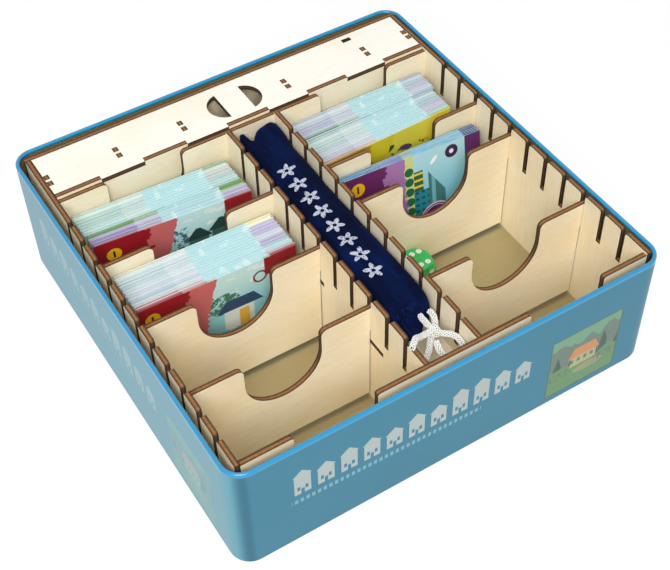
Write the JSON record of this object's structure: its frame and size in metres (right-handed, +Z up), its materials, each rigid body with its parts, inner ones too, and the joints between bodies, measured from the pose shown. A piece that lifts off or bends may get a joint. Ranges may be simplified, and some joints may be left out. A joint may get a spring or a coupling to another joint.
{
  "type": "board game box",
  "caption": "Square open game tin holding a lift-out plywood organiser with card dividers, sleeved cards, a lidded coin tray, a die and a drawstring bag.",
  "frame": {"origin": "middle of the tin's underside", "axes": "+Z up, +X along the front side to the right, +Y towards the back, where the coin tray lies"},
  "size_m": [0.254, 0.254, 0.0799],
  "materials": {
    "tin": "satin print",
    "plywood": "raw, laser cut",
    "plywood_lid": "raw, laser cut",
    "cards_mint": "sleeved",
    "cards_red": "sleeved",
    "cards_mustard": "sleeved",
    "cards_purple": "sleeved",
    "die": "gloss",
    "pips": "matt",
    "velvet": "velvet",
    "cord": "braided"
  },
  "bodies": {
    "tin": {"tin_base": "tin"},
    "organiser": {"left_side_wall": "plywood", "right_side_wall": "plywood", "left_channel_wall": "plywood", "right_channel_wall": "plywood", "front_panel": "plywood", "rear_panel": "plywood", "back_panel": "plywood", "channel_floor": "plywood"},
    "coin_tray": {"tray_floor": "plywood", "tray_front_wall": "plywood", "tray_back_wall": "plywood", "tray_left_end": "plywood", "tray_right_end": "plywood", "tray_divider_1": "plywood", "tray_divider_2": "plywood", "tray_divider_3": "plywood", "tray_divider_4": "plywood"},
    "coin_tray_lid": {"tray_lid": "plywood_lid"},
    "left_divider_1": {"left_divider_1": "plywood"},
    "left_divider_2": {"left_divider_2": "plywood"},
    "left_divider_3": {"left_divider_3": "plywood"},
    "right_divider_1": {"right_divider_1": "plywood"},
    "right_divider_2": {"right_divider_2": "plywood"},
    "right_divider_3": {"right_divider_3": "plywood"},
    "left_rear_pack": {"left_rear_cards": "cards_mint", "left_rear_front_cards": "cards_red"},
    "left_middle_pack": {"left_middle_cards": "cards_mint"},
    "right_rear_pack": {"right_rear_cards": "cards_mint", "right_rear_front_cards": "cards_mustard"},
    "right_middle_pack": {"right_middle_cards": "cards_purple"},
    "game_die": {"die": "die", "die_pips": "pips"},
    "bag": {"drawstring_bag": "velvet", "cord_knot": "cord", "cord_long_tail": "cord", "cord_short_tail": "cord", "cord_loop": "cord"}
  },
  "joints": [
    {"name": "organiser_lift", "type": "slide", "parent": "tin", "child": "organiser", "axis": [0, 0, 1], "range_m": [0, 0.08]},
    {"name": "coin_tray_lift", "type": "slide", "parent": "tin", "child": "coin_tray", "axis": [0, 0, 1], "range_m": [0, 0.08]},
    {"name": "coin_tray_lid_lift", "type": "slide", "parent": "coin_tray", "child": "coin_tray_lid", "axis": [0, 0, 1], "range_m": [0, 0.02]},
    {"name": "left_divider_1_lift", "type": "slide", "parent": "organiser", "child": "left_divider_1", "axis": [0, 0, 1], "range_m": [0, 0.08]},
    {"name": "left_divider_2_lift", "type": "slide", "parent": "organiser", "child": "left_divider_2", "axis": [0, 0, 1], "range_m": [0, 0.08]},
    {"name": "left_divider_3_lift", "type": "slide", "parent": "organiser", "child": "left_divider_3", "axis": [0, 0, 1], "range_m": [0, 0.08]},
    {"name": "right_divider_1_lift", "type": "slide", "parent": "organiser", "child": "right_divider_1", "axis": [0, 0, 1], "range_m": [0, 0.08]},
    {"name": "right_divider_2_lift", "type": "slide", "parent": "organiser", "child": "right_divider_2", "axis": [0, 0, 1], "range_m": [0, 0.08]},
    {"name": "right_divider_3_lift", "type": "slide", "parent": "organiser", "child": "right_divider_3", "axis": [0, 0, 1], "range_m": [0, 0.08]},
    {"name": "left_rear_pack_lift", "type": "slide", "parent": "tin", "child": "left_rear_pack", "axis": [0, 0, 1], "range_m": [0, 0.08]},
    {"name": "left_middle_pack_lift", "type": "slide", "parent": "tin", "child": "left_middle_pack", "axis": [0, 0, 1], "range_m": [0, 0.08]},
    {"name": "right_rear_pack_lift", "type": "slide", "parent": "tin", "child": "right_rear_pack", "axis": [0, 0, 1], "range_m": [0, 0.08]},
    {"name": "right_middle_pack_lift", "type": "slide", "parent": "tin", "child": "right_middle_pack", "axis": [0, 0, 1], "range_m": [0, 0.08]},
    {"name": "die_lift", "type": "slide", "parent": "tin", "child": "game_die", "axis": [0, 0, 1], "range_m": [0, 0.08]},
    {"name": "bag_lift", "type": "slide", "parent": "organiser", "child": "bag", "axis": [0, 0, 1], "range_m": [0, 0.04]}
  ]
}
